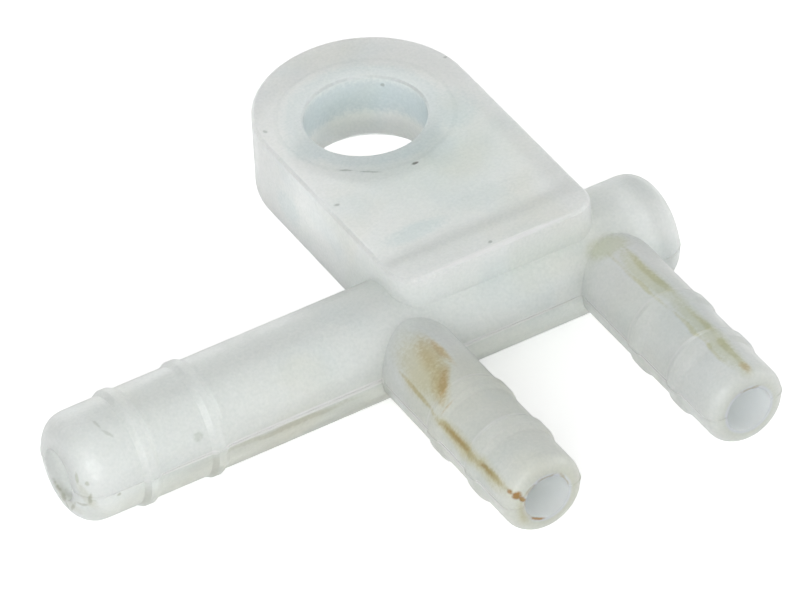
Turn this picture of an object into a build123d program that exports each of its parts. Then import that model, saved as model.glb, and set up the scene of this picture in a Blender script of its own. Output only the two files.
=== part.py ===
from build123d import *
import os

# Hose manifold with a screw lug, moulded in one piece: a tube that is open at one
# end and closed at the other, two outlets at right angles to it, and a flat lug
# with a screw hole on the other side.
#
# Frame, in millimetres: the origin is on the axis of the lug's hole, level with the
# lug's underside. +X runs along the tube to its closed end, the outlets point to
# -Y, and +Z runs up the hole. The mould parts in the plane Z = 0, which holds the
# axes of the tube and of both outlets, and the lug stands on it.

# Tube: the inlet is its open end
tube_diameter = 8.0
tube_bore = 3.8
tube_length = 47.4
tube_tip_diameter = 7.9          # between the mouth and the first bead
tube_mouth_round = 1.95
tube_closed_end_round = 1.85
tube_closed_end_wall = 3.0       # solid stretch between the bore and the closed end
tube_bead_setbacks = (5.1, 10.3)  # from the mouth to the middle of each bead
tube_bead_width = 1.35
tube_bead_crest_width = 0.5
tube_bead_height = 0.22

# Outlets: two equal spigots side by side
outlet_diameter = 6.1
outlet_bore = 3.4
outlet_reach = 20.6              # from the tube's axis to the tip
outlet_tip_diameter = 6.0        # between the tip and the first bead
outlet_tip_round = 0.95
outlet_bead_setbacks = (4.7, 9.65)  # from the tip to the middle of each bead
outlet_bead_width = 1.8
outlet_bead_crest_width = 0.9
outlet_bead_height = 0.18
outlet_spacing = 15.85
first_outlet_setback = 25.9      # from the mouth of the tube to the first outlet's axis

# Lug
lug_width = 16.0                 # at the underside; the sides lean in by the draft
lug_height = 5.75
lug_draft = 1.35                 # degrees
lug_front_overhang = 2.4         # how far the front face stands beyond the tube's axis
lug_front_round = 2.0
lug_rim_chamfer = 0.2            # broken edge round the top
hole_diameter = 8.7
hole_lead_in = 0.7               # chamfer at the underside
hole_rim_chamfer = 0.15          # broken edge at the top
rounded_end_shift = (0.5, 1.05)  # centre of the lug's rounded end, from the hole's axis

# Where the tube lies beside the hole
mouth_to_hole = 33.15            # along X
tube_axis_to_hole = 15.3         # along Y

# Flash that the upper half of the mould leaves along the parting plane
flash_height = 0.06
flash_thickness = 0.14

closed_end_x = tube_length - mouth_to_hole
first_outlet_x = first_outlet_setback - mouth_to_hole
outlet_xs = (first_outlet_x, first_outlet_x + outlet_spacing)

# Both planes below lie in the parting plane. In each, local X runs along the spigot
# from its root, and local Y is the radius.
tube_plane = Plane(origin=(closed_end_x, -tube_axis_to_hole, 0), x_dir=(-1, 0, 0), z_dir=(0, 0, 1))
outlet_planes = [
    Plane(origin=(x, -tube_axis_to_hole, 0), x_dir=(0, -1, 0), z_dir=(0, 0, 1)) for x in outlet_xs
]


def spigot_section(
    length,
    diameter,
    tip_diameter,
    tip_round,
    bead_setbacks,
    bead_width,
    bead_crest_width,
    bead_height,
    root_round=0,
):
    """Half of a spigot's lengthways section, without its bore: root at 0, tip at length.

    Each bead is a shallow ridge with sloping sides that grips the hose.
    """
    radius, tip_radius = diameter / 2, tip_diameter / 2
    wall_points = [(0, radius)]
    for bead_centre in sorted(length - setback for setback in bead_setbacks):
        wall_points += [
            (bead_centre - bead_width / 2, radius),
            (bead_centre - bead_crest_width / 2, radius + bead_height),
            (bead_centre + bead_crest_width / 2, radius + bead_height),
            (bead_centre + bead_width / 2, radius),
        ]
    wall_points[-1] = (wall_points[-1][0], tip_radius)
    with BuildSketch() as section:
        with BuildLine():
            Polyline((0, 0), *wall_points, (length, tip_radius), (length, 0), close=True)
        make_face()
        fillet(section.vertices().group_by(Axis.X)[-1].sort_by(Axis.Y)[-1], tip_round)
        if root_round:
            fillet(section.vertices().group_by(Axis.X)[0].sort_by(Axis.Y)[-1], root_round)
    return section.sketch


tube_section = spigot_section(
    tube_length,
    tube_diameter,
    tube_tip_diameter,
    tube_mouth_round,
    tube_bead_setbacks,
    tube_bead_width,
    tube_bead_crest_width,
    tube_bead_height,
    root_round=tube_closed_end_round,
)
outlet_section = spigot_section(
    outlet_reach,
    outlet_diameter,
    outlet_tip_diameter,
    outlet_tip_round,
    outlet_bead_setbacks,
    outlet_bead_width,
    outlet_bead_crest_width,
    outlet_bead_height,
)

with BuildPart() as connector_body:
    # Lug: a plate with a rounded far end, whose front face stands over the tube
    with BuildSketch() as lug_plan:
        end_x, end_y = rounded_end_shift
        front_y = -tube_axis_to_hole - lug_front_overhang
        with Locations((end_x, end_y)):
            Circle(lug_width / 2)
        with Locations((end_x, (end_y + front_y) / 2)):
            Rectangle(lug_width, end_y - front_y)
        fillet(lug_plan.vertices().group_by(Axis.Y)[0], lug_front_round)
    extrude(amount=lug_height, taper=lug_draft)
    chamfer(connector_body.edges().group_by(Axis.Z)[-1], lug_rim_chamfer)

    # Tube and outlets, solid at first. Each has its flash just above the parting
    # plane, so that none of it reaches below the lug's underside.
    for plane, section in [(tube_plane, tube_section)] + [(p, outlet_section) for p in outlet_planes]:
        with BuildSketch(plane):
            add(section)
        revolve(axis=Axis(plane.origin, plane.x_dir))
        with BuildSketch(plane):
            add(section)
            mirror(about=Plane.XZ)
            offset(amount=flash_height)
        extrude(amount=flash_thickness)

    # Screw hole, with its edges broken top and bottom
    with BuildSketch():
        Circle(hole_diameter / 2)
    extrude(amount=lug_height, mode=Mode.SUBTRACT)
    hole_rims = connector_body.edges().filter_by(GeomType.CIRCLE).filter_by(
        lambda edge: edge.radius == hole_diameter / 2 and edge.normal().Z ** 2 > 0.99
    )
    chamfer(hole_rims.sort_by(Axis.Z)[0], hole_lead_in)
    chamfer(hole_rims.sort_by(Axis.Z)[-1], hole_rim_chamfer)

    # Flow passages: the tube's bore stops short of its closed end, and each outlet's
    # bore runs in to the tube's axis. Both are cut through the flash on the tips too.
    with BuildSketch(Plane(origin=tube_plane.origin, z_dir=tube_plane.x_dir).offset(tube_closed_end_wall)):
        Circle(tube_bore / 2)
    extrude(amount=tube_length - tube_closed_end_wall + flash_height, mode=Mode.SUBTRACT)
    for outlet_plane in outlet_planes:
        with BuildSketch(Plane(origin=outlet_plane.origin, z_dir=outlet_plane.x_dir)):
            Circle(outlet_bore / 2)
        extrude(amount=outlet_reach + flash_height, mode=Mode.SUBTRACT)

connector_body.part.label = "connector_body"

os.makedirs("parts", exist_ok=True)
export_step(connector_body.part, "parts/connector_body.step")
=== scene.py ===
import functools
import logging
import math
from collections.abc import Iterable, Sequence
from dataclasses import dataclass, field
from enum import Enum

import bpy
import numpy as np
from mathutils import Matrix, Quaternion, Vector


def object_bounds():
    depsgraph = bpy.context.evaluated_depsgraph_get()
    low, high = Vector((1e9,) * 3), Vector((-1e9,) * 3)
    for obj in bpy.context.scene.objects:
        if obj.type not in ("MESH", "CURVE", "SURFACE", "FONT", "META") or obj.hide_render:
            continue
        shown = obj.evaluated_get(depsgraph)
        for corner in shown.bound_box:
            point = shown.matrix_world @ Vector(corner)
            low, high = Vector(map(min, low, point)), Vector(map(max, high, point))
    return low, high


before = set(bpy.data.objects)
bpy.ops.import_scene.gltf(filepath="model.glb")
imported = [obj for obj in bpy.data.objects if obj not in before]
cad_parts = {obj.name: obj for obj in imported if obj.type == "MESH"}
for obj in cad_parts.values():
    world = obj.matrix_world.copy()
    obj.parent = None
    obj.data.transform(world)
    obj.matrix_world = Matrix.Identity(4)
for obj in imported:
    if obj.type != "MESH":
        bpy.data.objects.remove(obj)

Point = tuple[float, float, float]
Colour = tuple[float, float, float]
DisplayColour = tuple[int, int, int]

CAD_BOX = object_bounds()
MM = 0.001
LOG = logging.getLogger("hose_manifold")


def metres(point_mm: Sequence[float]) -> Point:
    """Turn a point or a size in millimetres into metres."""
    return tuple(value * MM for value in point_mm)


def linear(srgb: Sequence[int]) -> Colour:
    """Turn a display colour into the linear colour that a shader takes.

    A part s of the colour, from 0 to 1, becomes s / 12.92 up to 0.04045, and
    ((s + 0.055) / 1.055) to the power 2.4 above it.

    Args:
        srgb: Red, green and blue from 0 to 255.

    Returns:
        The same colour, each part from 0 to 1 on the linear scale.
    """
    share = np.asarray(srgb, dtype=float) / 255.0
    bent = np.where(share <= 0.04045, share / 12.92, ((share + 0.055) / 1.055) ** 2.4)
    return tuple(float(value) for value in bent)


class Blend(Enum):
    """How a colour is laid over the one under it."""

    MULTIPLY = "MULTIPLY"
    MIX = "MIX"


class Wander(Enum):
    """How far, in millimetres, a noise pushes a mark out of its plain shape, and its grain."""

    STAIN = (0.45, 1.8)
    SCRATCH = (0.15, 0.7)


class TreeBuilder:
    """A shader node tree under construction, with the steps that every tree here shares."""

    def __init__(self, tree: bpy.types.NodeTree) -> None:
        """Take the tree that the nodes go into."""
        self.tree = tree

    def feed(self, socket: bpy.types.NodeSocket, value: object) -> None:
        """Connect a socket to another one, or set it to a constant.

        Args:
            socket: The input that is fed.
            value: A socket, or a number, vector or colour.
        """
        if isinstance(value, bpy.types.NodeSocket):
            self.tree.links.new(value, socket)
        else:
            socket.default_value = value

    def math(self, operation: str, *values: object, clamp: bool = False) -> bpy.types.NodeSocket:
        """Add a Math node.

        Args:
            operation: What it works out, such as "ADD".
            values: A number or a socket for each of its inputs, in order.
            clamp: Whether the result is kept between 0 and 1.

        Returns:
            The result.
        """
        node = self.tree.nodes.new("ShaderNodeMath")
        node.operation = operation
        node.use_clamp = clamp
        for socket, value in zip(node.inputs, values):
            self.feed(socket, value)
        return node.outputs["Value"]

    def vector(
        self, operation: str, *values: object, output: str = "Vector"
    ) -> bpy.types.NodeSocket:
        """Add a Vector Math node.

        Args:
            operation: What it works out, such as "SUBTRACT".
            values: A vector or a socket for each of its inputs, in order.
            output: "Vector", or "Value" where the result is a number.

        Returns:
            The result.
        """
        node = self.tree.nodes.new("ShaderNodeVectorMath")
        node.operation = operation
        for socket, value in zip(node.inputs, values):
            self.feed(socket, value)
        return node.outputs[output]

    def scaled(self, vector: object, factor: object) -> bpy.types.NodeSocket:
        """Add a Vector Math node that multiplies a vector by a number.

        Args:
            vector: The vector.
            factor: The number.

        Returns:
            The longer or shorter vector.
        """
        node = self.tree.nodes.new("ShaderNodeVectorMath")
        node.operation = "SCALE"
        self.feed(node.inputs[0], vector)
        self.feed(node.inputs["Scale"], factor)
        return node.outputs["Vector"]

    def noise(
        self, position: object, per_metre: object, detail: float, output: str = "Fac"
    ) -> bpy.types.NodeSocket:
        """Add a Noise texture.

        Args:
            position: Where the surface is, in metres.
            per_metre: How many grains there are in a metre.
            detail: How many finer layers are added.
            output: "Fac" for a number or "Color" for three, each from 0 to 1 about 0.5.

        Returns:
            The noise.
        """
        node = self.tree.nodes.new("ShaderNodeTexNoise")
        self.feed(node.inputs["Vector"], position)
        self.feed(node.inputs["Scale"], per_metre)
        node.inputs["Detail"].default_value = detail
        return node.outputs[output]

    def smooth(
        self, value: object, low: object, high: object, top: object
    ) -> bpy.types.NodeSocket:
        """Add a smooth step.

        With t = (value - low) / (high - low), kept between 0 and 1, the result is
        top * t * t * (3 - 2 * t).

        Args:
            value: The number that the step reads.
            low: Where the step begins.
            high: Where it ends.
            top: How high it rises.

        Returns:
            The height of the step at the value.
        """
        node = self.tree.nodes.new("ShaderNodeMapRange")
        node.interpolation_type = "SMOOTHSTEP"
        parts = {"Value": value, "From Min": low, "From Max": high, "To Max": top}
        for name, part in parts.items():
            self.feed(node.inputs[name], part)
        return node.outputs["Result"]


class GroupBuilder(TreeBuilder):
    """One shader node group under construction, with named inputs and outputs."""

    def __init__(self, name: str) -> None:
        """Start an empty group.

        Args:
            name: The group's name in the file.
        """
        super().__init__(bpy.data.node_groups.new(name, "ShaderNodeTree"))
        self.entry = self.tree.nodes.new("NodeGroupInput")
        self.exit = self.tree.nodes.new("NodeGroupOutput")

    def takes(self, name: str, kind: str, default: float | None = None) -> None:
        """Add an input.

        Args:
            name: The socket's label.
            kind: "Float", "Vector" or "Color".
            default: The value that the socket starts with.
        """
        socket = self.tree.interface.new_socket(
            name, in_out="INPUT", socket_type=f"NodeSocket{kind}"
        )
        if default is not None:
            socket.default_value = default

    def gives(self, name: str, kind: str, source: bpy.types.NodeSocket) -> None:
        """Add an output and connect it.

        Args:
            name: The socket's label.
            kind: "Float", "Vector" or "Color".
            source: The socket inside the group that it passes on.
        """
        self.tree.interface.new_socket(name, in_out="OUTPUT", socket_type=f"NodeSocket{kind}")
        self.tree.links.new(source, self.exit.inputs[name])


@functools.cache
def build_ring_group() -> bpy.types.NodeTree:
    """Build the ring: how deep a point lies in a hoop of the given Radius round an axis.

    With h = (P - Centre).Axis and r = |P - Centre - h * Axis|, the depth is 1 less the larger
    of |r - Radius| / Half width and |h| / Reach, and 0 outside the hoop.

    Returns:
        The group, which takes Position, Centre, Axis, Radius, Half width and Reach.
    """
    group = GroupBuilder("Ring")
    for name in ("Position", "Centre", "Axis"):
        group.takes(name, "Vector")
    for name in ("Radius", "Half width", "Reach"):
        group.takes(name, "Float", 1.0)
    inputs = group.entry.outputs
    offset = group.vector("SUBTRACT", inputs["Position"], inputs["Centre"])
    height = group.vector("DOT_PRODUCT", offset, inputs["Axis"], output="Value")
    spoke = group.vector("SUBTRACT", offset, group.scaled(inputs["Axis"], height))
    length = group.vector("LENGTH", spoke, output="Value")
    miss = group.math("SUBTRACT", length, inputs["Radius"])
    across = group.math("DIVIDE", group.math("ABSOLUTE", miss), inputs["Half width"])
    beside = group.math("DIVIDE", group.math("ABSOLUTE", height), inputs["Reach"])
    larger = group.math("MAXIMUM", across, beside)
    group.gives("Depth", "Float", group.math("SUBTRACT", 1.0, larger, clamp=True))
    return group.tree


@functools.cache
def build_cloud_group() -> bpy.types.NodeTree:
    """Build the clouds: Strength times a smooth step of a noise between Low and High.

    Returns:
        The group, which takes Position, Per metre, Low, High and Strength.
    """
    group = GroupBuilder("Clouds")
    group.takes("Position", "Vector")
    group.takes("Per metre", "Float", 250.0)
    group.takes("Low", "Float", 0.5)
    group.takes("High", "Float", 0.7)
    group.takes("Strength", "Float", 1.0)
    inputs = group.entry.outputs
    value = group.noise(inputs["Position"], inputs["Per metre"], 1.0)
    step = group.smooth(value, inputs["Low"], inputs["High"], inputs["Strength"])
    group.gives("Factor", "Float", step)
    return group.tree


@dataclass(frozen=True)
class Blot:
    """One soft ellipsoid, in millimetres in the part's frame.

    Args:
        centre: Its middle.
        radii: Half its length along, across and up.
        along: The direction of its first radius.
    """

    centre: Point
    radii: Point
    along: Point = (1.0, 0.0, 0.0)

    @classmethod
    def streak(cls, start: Point, end: Point, radius: float) -> "Blot":
        """Return a long blot, whose length is that from start to end and a radius at each end.

        Args:
            start: One end of the line that it follows.
            end: The other end.
            radius: Half its thickness.

        Returns:
            The blot.
        """
        first, last = Vector(start), Vector(end)
        length = (last - first).length / 2 + radius
        return cls(tuple((first + last) / 2), (length, radius, radius), tuple(last - first))

    def depth(
        self, build: "MaterialBuilder", position: bpy.types.NodeSocket
    ) -> bpy.types.NodeSocket:
        """Add the blot to a material.

        The position is moved to the ellipsoid's centre, turned back and divided by its radii,
        and the depth is 1 - its length, from 1 in the middle to 0 at the surface and outside.

        Args:
            build: The material under construction.
            position: Where the surface is, in metres.

        Returns:
            How deep the surface lies in the ellipsoid.
        """
        ball = build.tree.nodes.new("ShaderNodeTexGradient")
        ball.gradient_type = "SPHERICAL"
        turn = Vector((1.0, 0.0, 0.0)).rotation_difference(Vector(self.along))
        place = ball.texture_mapping
        place.vector_type = "TEXTURE"
        place.translation = metres(self.centre)
        place.rotation = turn.to_euler()
        place.scale = metres(self.radii)
        build.feed(ball.inputs["Vector"], position)
        return ball.outputs["Fac"]


@dataclass(frozen=True)
class Hoop:
    """One ring round an axis, in millimetres in the part's frame.

    Args:
        centre: Its middle.
        axis: The unit vector that it goes round.
        radius: From the axis to the middle of its band.
        half_width: Half the band's width.
        reach: How far the band goes to each side along the axis.
    """

    centre: Point
    axis: Point
    radius: float
    half_width: float
    reach: float

    def depth(
        self, build: "MaterialBuilder", position: bpy.types.NodeSocket
    ) -> bpy.types.NodeSocket:
        """Add the ring to a material.

        Args:
            build: The material under construction.
            position: Where the surface is, in metres.

        Returns:
            How deep the surface lies in the ring's band.
        """
        lengths = metres((self.radius, self.half_width, self.reach))
        settings = dict(zip(("Radius", "Half width", "Reach"), lengths))
        settings |= {"Position": position, "Centre": metres(self.centre), "Axis": self.axis}
        return build.group(build_ring_group(), settings)


@dataclass(frozen=True)
class Marks:
    """One colour of stains, smudges, scratches or specks, or of painted shade or painted
    highlights.

    Args:
        colour: The colour that is laid over the plastic's own.
        strength: How much of the colour shows, from 0 to 1.
        shapes: Where they are.
        softness: How deep inside its edge a mark reaches full strength, from 0 to 1.
        ragged: Whether a fine noise breaks up the edge.
        wander: How far the marks stray from their plain shapes, or None for not at all.
        relief_mm: How far the marks stand proud, or below zero how deep they are scored.
        blend: Whether the colour multiplies the plastic's own or takes its place.
    """

    colour: DisplayColour
    strength: float
    shapes: tuple[Blot | Hoop, ...]
    softness: float = 0.6
    ragged: bool = True
    wander: Wander | None = Wander.STAIN
    relief_mm: float = 0.0
    blend: Blend = Blend.MULTIPLY


@dataclass(frozen=True)
class Tint:
    """A broad faint change of colour, in clouds.

    Args:
        colour: The colour that multiplies the plastic's own.
        cloud_mm: How large the clouds are.
        low: The noise, from 0 to 1, at which a cloud begins.
        high: The noise at which it is full.
        strength: How much of the colour a full cloud shows.
    """

    colour: DisplayColour
    cloud_mm: float
    low: float
    high: float
    strength: float


class MaterialBuilder(TreeBuilder):
    """One material under construction: its tree, its Object position and its running colour."""

    def __init__(self, name: str, colour: DisplayColour) -> None:
        """Start the material.

        Args:
            name: The material's name.
            colour: The plain colour that everything else is laid over.
        """
        self.material = bpy.data.materials.new(name)
        self.material.use_nodes = True
        super().__init__(self.material.node_tree)
        self.shader = self.tree.nodes["Principled BSDF"]
        self.place = self.tree.nodes.new("ShaderNodeTexCoord").outputs["Object"]
        self.colour: object = (*linear(colour), 1.0)

    def grain(self, grain_mm: float, detail: float, output: str = "Fac") -> bpy.types.NodeSocket:
        """Add a noise on the piece's own position, with grains of the given size."""
        return self.noise(self.place, 1.0 / (grain_mm * MM), detail, output)

    def strayed(self, wander: Wander) -> bpy.types.NodeSocket:
        """Push the position about by a noise: P + swing * (noise - 0.5), axis by axis.

        Args:
            wander: How far the position strays, and the size of the noise's grains.

        Returns:
            The strayed position.
        """
        swing_mm, grain_mm = wander.value
        push = self.grain(grain_mm, 0.0, "Color")
        middle = self.vector("SUBTRACT", self.place, metres((swing_mm / 2,) * 3))
        return self.vector("MULTIPLY_ADD", push, metres((swing_mm,) * 3), middle)

    def group(self, tree: bpy.types.NodeTree, settings: dict[str, object]) -> bpy.types.NodeSocket:
        """Place a node group.

        Args:
            tree: The group.
            settings: A value or a socket for each of its inputs, by name.

        Returns:
            The group's only output.
        """
        node = self.tree.nodes.new("ShaderNodeGroup")
        node.node_tree = tree
        for name, value in settings.items():
            self.feed(node.inputs[name], value)
        return node.outputs[0]

    def lay(self, factor: object, colour: DisplayColour, blend: Blend = Blend.MULTIPLY) -> None:
        """Lay a colour over the running colour.

        Args:
            factor: How much of it shows, from 0 to 1.
            colour: The colour.
            blend: How it is laid.
        """
        node = self.tree.nodes.new("ShaderNodeMix")
        node.data_type = "RGBA"
        node.blend_type = blend.value
        self.feed(node.inputs["Factor"], factor)
        self.feed(node.inputs["A"], self.colour)
        self.feed(node.inputs["B"], (*linear(colour), 1.0))
        self.colour = node.outputs["Result"]


@dataclass(frozen=True)
class MilkyPolypropylene:
    """Natural polypropylene: milky, satin, cloudy and a little see-through.

    Args:
        name: The material's name.
        colour: Its plain colour.
        roughness: How matt its gloss is on average.
        roughness_spread: How much the roughness changes over the ripple.
        subsurface_weight: How much of the light goes in and is scattered.
        subsurface_depth_mm: How far the scattered light goes.
        subsurface_spread: The share of that depth which red, green and blue go.
        transmission_weight: How see-through it is.
        refraction_index: How strongly it bends light.
        speckle_mm: The grain of the fine speckle.
        speckle_colour: The colour that multiplies the plastic's own where the speckle is full.
        speckle_height: The speckle's share of the relief.
        ripple_mm: The grain of the ripple.
        ripple_height: The ripple's share of the relief.
        edge_raggedness: How strongly the speckle breaks up the edges of the marks.
        relief_mm: The height that a whole share of relief stands for.
        tints: Faint clouds of other colours.
    """

    name: str = "Milky polypropylene"
    colour: DisplayColour = (253, 255, 252)
    roughness: float = 0.36
    roughness_spread: float = 0.2
    subsurface_weight: float = 1.0
    subsurface_depth_mm: float = 6.0
    subsurface_spread: Colour = (1.0, 1.0, 0.95)
    transmission_weight: float = 0.45
    refraction_index: float = 1.49
    speckle_mm: float = 0.22
    speckle_colour: DisplayColour = (232, 235, 235)
    speckle_height: float = 0.12
    ripple_mm: float = 0.8
    ripple_height: float = 0.16
    edge_raggedness: float = 1.0
    relief_mm: float = 0.1
    tints: tuple[Tint, ...] = (
        Tint((241, 246, 249), 5.0, 0.50, 0.68, 0.5),
        Tint((253, 249, 241), 6.5, 0.52, 0.70, 0.5),
    )

    def build(self, marks: Iterable[Marks]) -> bpy.types.Material:
        """Make the material, with its clouds and then every mark laid over its colour.

        Args:
            marks: The stains, smudges, scratches and specks, and the painted shade and painted
                highlights, in the order they are laid.

        Returns:
            The material.
        """
        build = MaterialBuilder(self.name, self.colour)
        shader = build.shader
        shader.inputs["IOR"].default_value = self.refraction_index
        shader.inputs["Subsurface Weight"].default_value = self.subsurface_weight
        shader.inputs["Subsurface Scale"].default_value = self.subsurface_depth_mm * MM
        shader.inputs["Subsurface Radius"].default_value = self.subsurface_spread
        shader.inputs["Transmission Weight"].default_value = self.transmission_weight
        for tint in self.tints:
            self.lay_tint(build, tint)
        speckle = build.grain(self.speckle_mm, 1.0)
        build.lay(speckle, self.speckle_colour)
        ripple = build.grain(self.ripple_mm, 0.0)
        marks_height = self.lay_marks(build, marks, speckle)
        build.feed(shader.inputs["Base Color"], build.colour)
        smoothest = self.roughness - self.roughness_spread / 2
        rough = build.math("MULTIPLY_ADD", ripple, self.roughness_spread, smoothest)
        build.feed(shader.inputs["Roughness"], rough)
        fine = build.math("MULTIPLY", speckle, self.speckle_height)
        height = build.math("MULTIPLY_ADD", ripple, self.ripple_height, fine)
        if marks_height is not None:
            height = build.math("ADD", height, marks_height)
        bump = build.tree.nodes.new("ShaderNodeBump")
        bump.inputs["Distance"].default_value = self.relief_mm * MM
        build.feed(bump.inputs["Height"], height)
        build.feed(shader.inputs["Normal"], bump.outputs["Normal"])
        return build.material

    @staticmethod
    def lay_tint(build: MaterialBuilder, tint: Tint) -> None:
        """Lay one faint tint over the running colour, in clouds.

        Args:
            build: The material under construction.
            tint: What to lay.
        """
        settings = {
            "Position": build.place,
            "Per metre": 1.0 / (tint.cloud_mm * MM),
            "Low": tint.low,
            "High": tint.high,
            "Strength": tint.strength,
        }
        build.lay(build.group(build_cloud_group(), settings), tint.colour)

    def lay_marks(
        self, build: MaterialBuilder, marks: Iterable[Marks], grain: bpy.types.NodeSocket
    ) -> bpy.types.NodeSocket | None:
        """Lay every mark over the running colour.

        Where the shapes of one mark overlap, the deeper one counts. The fine noise then
        multiplies the depth by 1 + edge_raggedness * (noise - 0.5).

        Args:
            build: The material under construction.
            marks: What to lay, in order.
            grain: The fine noise that makes the marks' edges ragged.

        Returns:
            The height of the marks that are scored or stand proud, or None if none does.
        """
        places = {None: build.place} | {wander: build.strayed(wander) for wander in Wander}
        least = 1.0 - self.edge_raggedness / 2
        ragged = build.math("MULTIPLY_ADD", grain, self.edge_raggedness, least)
        relief = None
        for mark in marks:
            depths = [shape.depth(build, places[mark.wander]) for shape in mark.shapes]
            depth = functools.reduce(functools.partial(build.math, "MAXIMUM"), depths)
            if mark.ragged:
                depth = build.math("MULTIPLY", depth, ragged)
            shown = build.smooth(depth, 0.0, mark.softness, mark.strength)
            build.lay(shown, mark.colour, mark.blend)
            if mark.relief_mm:
                raised = build.math("MULTIPLY", depth, mark.relief_mm / self.relief_mm)
                relief = raised if relief is None else build.math("ADD", relief, raised)
        return relief


UP: Point = (0.0, 0.0, 1.0)
ALONG_OUTLETS: Point = (0.0, 1.0, 0.0)
# the white of the painted highlights
HIGHLIGHT_WHITE: DisplayColour = (255, 255, 252)

# Outlet a is the one nearer the inlet's mouth, and outlet b is the other one.
OUTLET_A_X = -7.25
OUTLET_B_X = 8.6

# The thin walls are painted greyer than the thick lug, as painted shade, and outlet a has
# yellowed.
THIN_WALL_TONES_AND_SHADE: tuple[Marks, ...] = (
    # the tube, painted greyer as painted shade
    Marks(
        (249, 251, 250), 1.0,
        (Blot((-9.5, -15.3, 0.0), (40.0, 6.5, 6.5)),),
        softness=0.25, ragged=False, wander=None,
    ),
    # outlet a, painted greyer as painted shade and yellowed
    Marks(
        (243, 243, 235), 1.0,
        (Blot((OUTLET_A_X, -30.0, 0.0), (11.6, 5.0, 5.0), ALONG_OUTLETS),),
        softness=0.2, ragged=False, wander=None,
    ),
    # outlet b, painted greyer as painted shade
    Marks(
        (247, 248, 245), 1.0,
        (Blot((OUTLET_B_X, -30.0, 0.0), (11.6, 5.0, 5.0), ALONG_OUTLETS),),
        softness=0.2, ragged=False, wander=None,
    ),
    # the ends of the outlets
    Marks(
        (222, 223, 212), 1.0,
        (
            Blot((OUTLET_A_X, -37.0, 0.0), (4.4, 4.4, 4.4)),
            Blot((OUTLET_B_X, -37.0, 0.0), (4.4, 4.4, 4.4)),
        ),
        softness=0.7, ragged=False, wander=None,
    ),
    # painted shade on the inlet's underside
    Marks(
        (226, 224, 221), 1.0,
        (Blot.streak((-34.5, -18.9, -1.9), (-8.0, -18.9, -1.9), 2.7),),
        softness=0.5, ragged=False, wander=None,
    ),
    # painted shade on the underside of the whole tube, a little warmer
    Marks(
        (238, 236, 231), 1.0,
        (Blot.streak((-32.0, -18.7, -2.0), (14.0, -18.7, -2.0), 3.4),),
        ragged=False, wander=None,
    ),
    # painted shade on the walls of the outlets' bores, which look cool
    Marks(
        (218, 224, 228), 1.0,
        (
            Blot.streak((OUTLET_A_X, -56.0, 0.0), (OUTLET_A_X, -16.0, 0.0), 2.05),
            Blot.streak((OUTLET_B_X, -56.0, 0.0), (OUTLET_B_X, -16.0, 0.0), 2.05),
        ),
        softness=0.15, ragged=False, wander=None, blend=Blend.MIX,
    ),
)

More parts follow.
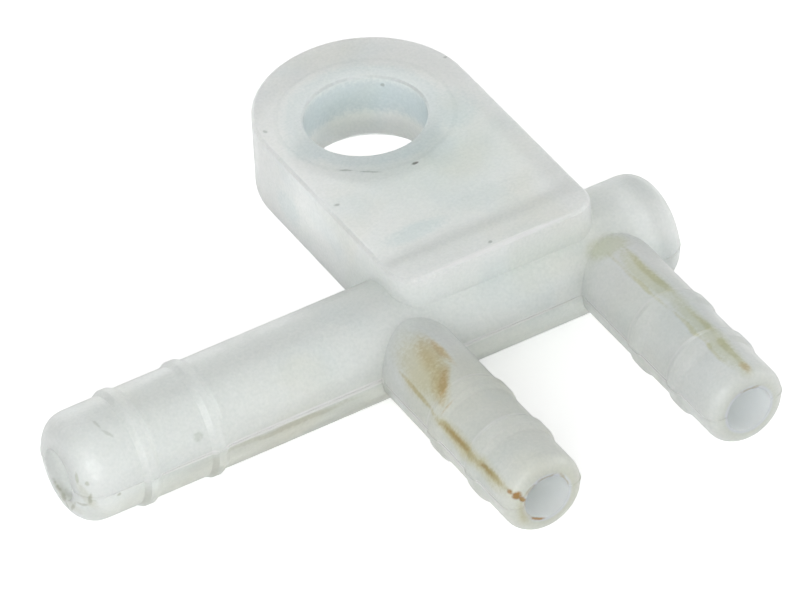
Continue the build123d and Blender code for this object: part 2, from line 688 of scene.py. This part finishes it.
OUTLET_STAINS: tuple[Marks, ...] = (
    # pale tan: outlet a's top and left side, the halo of its streak and the end under its bore
    Marks(
        (238, 229, 205), 0.95,
        (
            Blot((-8.7, -22.3, 2.3), (4.8, 2.1, 1.8), (-0.15, -1.0, -0.05)),
            Blot.streak((-9.9, -25.2, 1.5), (-9.7, -36.2, 1.2), 0.95),
            Blot((-8.8, -35.9, -0.2), (1.0, 0.8, 1.7)),
        ),
        softness=0.7,
    ),
    # pale olive: outlet b's root and the band along its top
    Marks(
        (234, 233, 214), 0.95,
        (
            Blot((8.1, -18.9, 2.9), (2.1, 1.4, 1.5)),
            Blot.streak((8.5, -18.8, 3.0), (8.7, -27.4, 3.1), 1.0),
            Blot.streak((8.7, -24.4, 3.1), (8.9, -37.4, 2.95), 1.0),
        ),
    ),
    # tan: outlet a's patch, a teardrop that runs down to the bead
    Marks(
        (230, 215, 184), 0.9,
        (
            Blot((-7.75, -21.8, 3.0), (2.8, 1.2, 1.3), (-0.2, -1.0, 0.0)),
            Blot.streak((-7.6, -22.6, 3.0), (-9.5, -26.3, 2.3), 1.0),
        ),
        softness=0.75,
    ),
    # olive brown: outlet a's left edge and its streak
    Marks(
        (222, 211, 178), 0.95,
        (
            Blot.streak((-9.76, -20.6, 1.75), (-10.05, -26.8, 1.6), 0.26),
            Blot.streak((-9.98, -26.0, 1.5), (-9.93, -30.2, 1.42), 0.44),
            Blot.streak((-9.95, -28.0, 1.45), (-9.88, -33.0, 1.42), 0.46),
            Blot.streak((-9.9, -31.2, 1.42), (-9.6, -36.0, 1.35), 0.42),
        ),
        wander=None,
    ),
    # olive: the lines in outlet b's band
    Marks(
        (229, 226, 200), 0.95,
        (
            Blot.streak((8.85, -19.2, 3.05), (8.95, -26.8, 3.1), 0.42),
            Blot.streak((8.95, -27.0, 3.1), (9.1, -36.0, 2.95), 0.42),
            Blot.streak((7.65, -18.8, 2.95), (7.85, -27.6, 3.05), 0.3),
            Blot.streak((7.9, -26.2, 3.05), (8.2, -35.0, 3.0), 0.26),
        ),
        softness=0.7,
    ),
    # brown: the patch's right edge and lower end, the arc along the bead, the core of the
    # streak and the end of outlet b's band
    Marks(
        (230, 206, 168), 0.85,
        (
            Blot.streak((-7.1, -20.2, 3.05), (-7.0, -23.9, 3.05), 0.42),
            Blot.streak((-7.5, -23.4, 3.0), (-9.5, -26.2, 2.35), 0.55),
            Blot.streak((-9.83, -26.6, 1.95), (-8.7, -26.7, 2.85), 0.16),
            Blot.streak((-9.95, -26.3, 1.45), (-9.9, -31.6, 1.42), 0.24),
            Blot.streak((-9.9, -30.4, 1.42), (-9.8, -34.6, 1.42), 0.2),
            Blot((9.0, -35.0, 2.95), (0.5, 0.85, 0.5)),
        ),
        softness=0.8, wander=Wander.SCRATCH,
    ),
    # rust: the spot at outlet a's end and the marks beside and under its bore
    Marks(
        (180, 126, 56), 1.0,
        (
            Blot((-9.4, -35.7, 1.15), (0.46, 0.5, 0.4)),
            Blot((-9.68, -35.3, 1.35), (0.26, 0.34, 0.26)),
            Blot.streak((-9.3, -35.85, 1.0), (-8.95, -35.95, 0.5), 0.22),
            Blot.streak((-9.0, -35.9, 0.5), (-8.4, -35.9, -1.2), 0.2),
            Blot.streak((-8.5, -35.9, -1.15), (-7.6, -35.85, -1.65), 0.26),
        ),
        wander=Wander.SCRATCH,
    ),
    # the thin brown line round the bores
    Marks(
        (210, 198, 160), 0.9,
        (
            Blot.streak((-8.9, -35.9, 0.9), (-8.1, -35.9, 1.6), 0.24),
            Blot.streak((-8.0, -35.9, 1.7), (-6.4, -35.9, 1.75), 0.16),
            Blot.streak((-6.2, -35.9, 1.6), (-5.5, -35.9, 0.2), 0.22),
            Blot.streak((7.9, -35.9, 1.7), (9.6, -35.9, 1.7), 0.2),
        ),
        wander=Wander.SCRATCH,
    ),
)

PAINTED_HIGHLIGHTS: tuple[Marks, ...] = (
    # painted highlights on the shoulders of the outlets' beads
    Marks(
        HIGHLIGHT_WHITE, 0.4,
        (
            Blot((-7.2, -25.3, 0.5), (7.0, 0.14, 7.0)),
            Blot((-7.2, -30.3, 0.5), (7.0, 0.14, 7.0)),
            Blot((6.6, -25.3, 0.5), (6.0, 0.14, 6.0)),
            Blot((6.6, -30.3, 0.5), (6.0, 0.14, 6.0)),
        ),
        softness=0.5, wander=None, blend=Blend.MIX,
    ),
    # painted highlights along the parting line on the tube and the outlets, and along the lug's
    # front edge
    Marks(
        HIGHLIGHT_WHITE, 0.9,
        (
            Blot.streak((-33.0, -19.35, 0.08), (9.0, -19.35, 0.08), 0.3),
            Blot.streak((-10.3, -19.0, 0.08), (-10.3, -36.0, 0.08), 0.2),
            Blot.streak((5.55, -19.0, 0.08), (5.55, -36.0, 0.08), 0.2),
            Blot.streak((-5.5, -17.4, 5.7), (6.8, -17.4, 5.7), 0.26),
        ),
        softness=0.5, wander=None, blend=Blend.MIX,
    ),
)

MOUTH_CRACKS: tuple[Point, ...] = (
    (-32.97, -13.94, -1.32),
    (-32.86, -14.89, -1.85),
    (-33.15, -15.99, -1.90),
    (-33.00, -16.29, -2.56),
    (-33.11, -17.53, -0.81),
    (-32.60, -18.60, -0.56),
    (-32.49, -18.73, 0.45),
)

TUBE_MARKS: tuple[Marks, ...] = (
    # a darker band just under the parting line, and dirt at the mouth's lower lip
    Marks(
        (234, 232, 224), 0.9,
        (
            Blot.streak((-24.5, -19.3, -0.4), (-10.5, -19.3, -0.4), 0.34),
            Blot.streak((-32.9, -14.2, -1.7), (-33.0, -17.8, -1.6), 0.8),
            Blot.streak((-32.9, -18.0, 0.9), (-32.4, -18.8, -0.8), 0.6),
        ),
    ),
    # the cracks in the mouth's lip, and specks beside them
    Marks(
        (200, 200, 190), 0.9,
        (
            *(Blot.streak(start, end, 0.2) for start, end in zip(MOUTH_CRACKS, MOUTH_CRACKS[1:])),
            Blot.streak((-32.93, -17.66, 1.75), (-32.99, -17.82, 1.0), 0.22),
            Blot((-32.57, -18.46, 1.19), (0.24, 0.24, 0.24)),
            Blot((-30.68, -19.25, -0.07), (0.22, 0.22, 0.22)),
        ),
        wander=Wander.SCRATCH,
    ),
    # a grey smudge, and faint scratches near the mouth
    Marks(
        (226, 227, 224), 0.9,
        (
            Blot((-24.29, -18.95, 1.63), (0.5, 0.45, 0.45)),
            Blot.streak((-30.5, -15.9, 3.9), (-30.3, -16.6, 3.7), 0.16),
            Blot.streak((-30.3, -16.8, 3.65), (-29.8, -17.5, 3.3), 0.16),
        ),
        wander=Wander.SCRATCH,
    ),
)

LUG_MARKS_AND_SHADE: tuple[Marks, ...] = (
    # painted shade: the middle of the top, a little darker
    Marks(
        (238, 243, 243), 1.0,
        (Blot((1.5, -6.5, 5.7), (9.5, 8.0, 5.0)),),
        softness=1.0, ragged=False, wander=None,
    ),
    # painted shade on the upper wall of the hole
    Marks(
        (233, 238, 243), 1.0,
        (Hoop((0.0, 0.0, 4.1), UP, 4.35, 1.2, 1.8),),
        softness=0.5, wander=None,
    ),
    # cool shadows: round the hole, beside it, over the tube and on the left side
    Marks(
        (243, 248, 250), 1.0,
        (
            Hoop((0.0, 0.0, 5.2), UP, 4.5, 1.7, 3.0),
            Blot((5.3, -2.6, 5.7), (2.6, 2.9, 1.6)),
            Blot((-5.2, -0.6, 5.7), (1.6, 2.8, 1.6)),
            Blot((-3.6, -13.0, 5.7), (3.2, 1.1, 1.6)),
            Blot((-7.5, -1.8, 2.2), (1.4, 2.0, 1.9)),
        ),
    ),
    # painted shade: the soft grey edge where the tube begins under the lug, and the middle of the
    # left side
    Marks(
        (249, 250, 250), 0.9,
        (
            Blot.streak((-6.0, -12.7, 5.7), (7.5, -12.2, 5.7), 1.3),
            Blot((-7.4, -3.4, 1.6), (1.6, 2.4, 2.2)),
        ),
    ),
    # the ring that a washer pressed
    Marks(
        (248, 249, 249), 0.8,
        (Hoop((0.0, 0.0, 5.75), UP, 6.25, 0.22, 0.6),),
        wander=Wander.SCRATCH, relief_mm=-0.012,
    ),
    # the dirt along the ring, and specks
    Marks(
        (200, 203, 201), 0.9,
        (
            Blot.streak((-4.58, -4.17, 5.75), (-3.80, -4.85, 5.75), 0.14),
            Blot.streak((-3.60, -5.05, 5.75), (-2.20, -6.10, 5.75), 0.13),
            Blot((-6.55, -7.44, 5.75), (0.26, 0.2, 0.3)),
            Blot((-6.65, 2.38, 5.75), (0.16, 0.24, 0.3)),
            Blot((7.88, 2.46, 5.7), (0.2, 0.18, 0.3)),
            Blot((3.13, 3.02, 5.05), (0.2, 0.2, 0.2)),
            Blot((0.03, -16.88, 5.75), (0.22, 0.18, 0.3)),
        ),
        wander=Wander.SCRATCH,
    ),
    # the black speck on the ring
    Marks(
        (124, 126, 120), 1.0,
        (Blot((0.17, -6.55, 5.75), (0.32, 0.18, 0.3)),),
        wander=Wander.SCRATCH,
    ),
)


@dataclass
class ConnectorBody:
    """The moulded body, which the frame already holds as one solid.

    Args:
        node_name: The solid's name in the frame.
        finish: The plastic.
        marks: The stains and specks on it, with painted shade and painted highlights, in the order
            they are laid.
    """

    node_name: str = "connector_body"
    finish: MilkyPolypropylene = field(default_factory=MilkyPolypropylene)
    marks: tuple[Marks, ...] = THIN_WALL_TONES_AND_SHADE + PAINTED_HIGHLIGHTS + LUG_MARKS_AND_SHADE + TUBE_MARKS + OUTLET_STAINS

    def dress(self) -> bpy.types.Object:
        """Give the solid its material.

        Returns:
            The solid.
        """
        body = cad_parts[self.node_name]
        material = self.finish.build(self.marks)
        for slot in body.material_slots:
            slot.material = material
        return body


class StudioTree(TreeBuilder):
    """The tree of the floor's or the surround's material."""

    def seen_or_mirrored(self) -> bpy.types.NodeSocket:
        """Tell the rays that see or mirror things from those that light them.

        Returns:
            1 on camera, glossy and transmission rays, and 0 on all others.
        """
        path = self.tree.nodes.new("ShaderNodeLightPath").outputs
        straight = self.math("MAXIMUM", path["Is Camera Ray"], path["Is Glossy Ray"])
        return self.math("MAXIMUM", straight, path["Is Transmission Ray"])


@dataclass(frozen=True)
class MattWhite:
    """The floor's finish: a matt white that keeps a soft shadow.

    Args:
        name: The material's name.
        albedo: How much light it gives back.
        glow: What is added where it is seen or mirrored, so that it looks white.
    """

    name: str = "Studio floor"
    albedo: float = 0.97
    glow: float = 0.45

    def build(self) -> bpy.types.Material:
        """Make the material, which is plain white where it is seen through the plastic.

        Returns:
            The material.
        """
        material = bpy.data.materials.new(self.name)
        material.use_nodes = True
        build = StudioTree(material.node_tree)
        nodes, links = build.tree.nodes, build.tree.links
        shader = nodes["Principled BSDF"]
        shader.inputs["Base Color"].default_value = (self.albedo,) * 3 + (1.0,)
        shader.inputs["Roughness"].default_value = 1.0
        shader.inputs["Specular IOR Level"].default_value = 0.0
        shader.inputs["Emission Color"].default_value = (1.0, 1.0, 1.0, 1.0)
        glow = build.math("MULTIPLY", build.seen_or_mirrored(), self.glow)
        build.feed(shader.inputs["Emission Strength"], glow)
        plain = nodes.new("ShaderNodeEmission")
        through = nodes.new("ShaderNodeLightPath").outputs["Is Transmission Ray"]
        blend = nodes.new("ShaderNodeMixShader")
        links.new(through, blend.inputs["Fac"])
        links.new(shader.outputs["BSDF"], blend.inputs[1])
        links.new(plain.outputs["Emission"], blend.inputs[2])
        links.new(blend.outputs["Shader"], nodes["Material Output"].inputs["Surface"])
        return material


@dataclass(frozen=True)
class WhiteSurround:
    """The world: white where it is seen, and at lamp strength where it lights things.

    Args:
        name: The world's name.
        horizon_strength: Its lamp strength at the horizon.
        overhead_strength: Its lamp strength straight up.
    """

    name: str = "Studio surround"
    horizon_strength: float = 1.1
    overhead_strength: float = 0.32

    def build(self) -> bpy.types.World:
        """Make the world and give it to the scene.

        With z the height of the direction, the lamp strength is
        horizon_strength + z * (overhead_strength - horizon_strength).

        Returns:
            The world.
        """
        world = bpy.data.worlds.new(self.name)
        world.use_nodes = True
        build = StudioTree(world.node_tree)
        nodes = build.tree.nodes
        background = nodes["Background"]
        background.inputs["Color"].default_value = (1.0, 1.0, 1.0, 1.0)
        direction = nodes.new("ShaderNodeSeparateXYZ")
        build.feed(direction.inputs[0], nodes.new("ShaderNodeTexCoord").outputs["Generated"])
        lamp = nodes.new("ShaderNodeMapRange")
        lamp.inputs["To Min"].default_value = self.horizon_strength
        lamp.inputs["To Max"].default_value = self.overhead_strength
        build.feed(lamp.inputs["Value"], direction.outputs["Z"])
        strength = nodes.new("ShaderNodeMapRange")
        strength.inputs["To Max"].default_value = 1.0
        build.feed(strength.inputs["Value"], build.seen_or_mirrored())
        build.feed(strength.inputs["To Min"], lamp.outputs["Result"])
        build.feed(background.inputs["Strength"], strength.outputs["Result"])
        bpy.context.scene.world = world
        return world


@dataclass(frozen=True)
class Lamp:
    """One soft round lamp.

    Args:
        name: Its name.
        power: Its power in watts.
        width_mm: How wide it is.
        place_mm: Where its middle hangs.
    """

    name: str
    power: float
    width_mm: float
    place_mm: Point

    def hang(self) -> bpy.types.Object:
        """Hang the lamp, turned to the middle of the part.

        Returns:
            The lamp.
        """
        data = bpy.data.lights.new(self.name, "AREA")
        data.shape = "DISK"
        data.size = self.width_mm * MM
        data.energy = self.power
        holder = bpy.data.objects.new(self.name, data)
        bpy.context.scene.collection.objects.link(holder)
        holder.location = metres(self.place_mm)
        centre = (CAD_BOX[0] + CAD_BOX[1]) / 2
        holder.rotation_mode = "QUATERNION"
        holder.rotation_quaternion = (centre - holder.location).to_track_quat("-Z", "Y")
        return holder


@dataclass
class Studio:
    """A white floor, a white surround and soft lamps.

    Args:
        floor_level_mm: How high the floor is, which is where the tube rests on it.
        floor_half_width_mm: How far it goes to each side.
        floor_finish: What it is made of.
        surround: The world round it.
        lamps: What hangs over it.
    """

    floor_level_mm: float = -4.22
    floor_half_width_mm: float = 1500.0
    floor_finish: MattWhite = field(default_factory=MattWhite)
    surround: WhiteSurround = field(default_factory=WhiteSurround)
    lamps: tuple[Lamp, ...] = (
        Lamp("front_lamp", 1.15, 350.0, (-250.0, -340.0, 175.0)),
        Lamp("side_lamp", 0.5, 300.0, (380.0, -180.0, 120.0)),
        Lamp("back_lamp", 0.5, 300.0, (20.0, 430.0, 70.0)),
    )

    def build_floor(self) -> bpy.types.Object:
        """Make the floor: z is its level, and x and y run over a grid of two by two points.

        Returns:
            The floor.
        """
        reach = self.floor_half_width_mm * MM
        x, y = np.meshgrid((-reach, reach), (-reach, reach))
        z = np.full_like(x, self.floor_level_mm * MM)
        corners = np.stack((x, y, z), axis=-1).reshape(-1, 3)
        mesh = bpy.data.meshes.new("studio_floor")
        mesh.from_pydata(corners.tolist(), [], [(0, 1, 3, 2)])
        mesh.materials.append(self.floor_finish.build())
        floor = bpy.data.objects.new("studio_floor", mesh)
        bpy.context.scene.collection.objects.link(floor)
        return floor

    def build(self) -> None:
        """Build the floor, the surround and the lamps, and set the plain view."""
        self.build_floor()
        self.surround.build()
        for lamp in self.lamps:
            lamp.hang()
        bpy.context.scene.view_settings.view_transform = "Standard"


@dataclass(frozen=True)
class Viewpoint:
    """A long lens that looks down on the part from the inlet's side.

    Args:
        azimuth_deg: How far round the upright axis the camera stands from straight in front.
        elevation_deg: How far up it stands.
        roll_deg: How far it is rolled about its own line of sight.
        distance_mm: How far it is from the point it looks at.
        look_at_mm: That point.
        focal_length_px: The lens's focal length in pixels of the picture.
        image_width_px: The picture's width.
        sensor_width_mm: The width of the sensor that the picture fills.
        clip_mm: The nearest and the farthest that it sees.
    """

    azimuth_deg: float = -27.24
    elevation_deg: float = 39.53
    roll_deg: float = 4.79
    distance_mm: float = 575.3
    look_at_mm: Point = (-4.86, -12.71, 0.0)
    focal_length_px: float = 8400.0
    image_width_px: float = 805.0
    sensor_width_mm: float = 36.0
    clip_mm: tuple[float, float] = (10.0, 10000.0)

    def build(self) -> bpy.types.Object:
        """Make the camera and give it to the scene.

        With a the azimuth and e the elevation, it stands back from the point it looks at
        along (sin a * cos e, -cos a * cos e, sin e).

        Returns:
            The camera.
        """
        data = bpy.data.cameras.new("viewpoint")
        data.sensor_width = self.sensor_width_mm
        data.lens = self.focal_length_px / self.image_width_px * self.sensor_width_mm
        data.clip_start, data.clip_end = (reach * MM for reach in self.clip_mm)
        camera = bpy.data.objects.new("viewpoint", data)
        bpy.context.scene.collection.objects.link(camera)
        turn, lift = math.radians(self.azimuth_deg), math.radians(self.elevation_deg)
        side, front = math.sin(turn) * math.cos(lift), -math.cos(turn) * math.cos(lift)
        back = Vector((side, front, math.sin(lift)))
        level = (-back).to_track_quat("-Z", "Y")
        roll = Quaternion((0.0, 0.0, 1.0), -math.radians(self.roll_deg))
        camera.rotation_mode = "QUATERNION"
        camera.rotation_quaternion = level @ roll
        camera.location = Vector(metres(self.look_at_mm)) + back * self.distance_mm * MM
        bpy.context.scene.camera = camera
        return camera


def main() -> None:
    """Dress the part, and build the studio and the camera, in that order."""
    logging.basicConfig(level=logging.INFO, format="%(message)s")
    body = ConnectorBody().dress()
    LOG.info("%s dressed in %s", body.name, body.material_slots[0].material.name)
    studio = Studio()
    studio.build()
    LOG.info("studio built with %d lamps", len(studio.lamps))
    camera = Viewpoint().build()
    LOG.info("camera %s placed", camera.name)


if __name__ == "__main__":
    main()
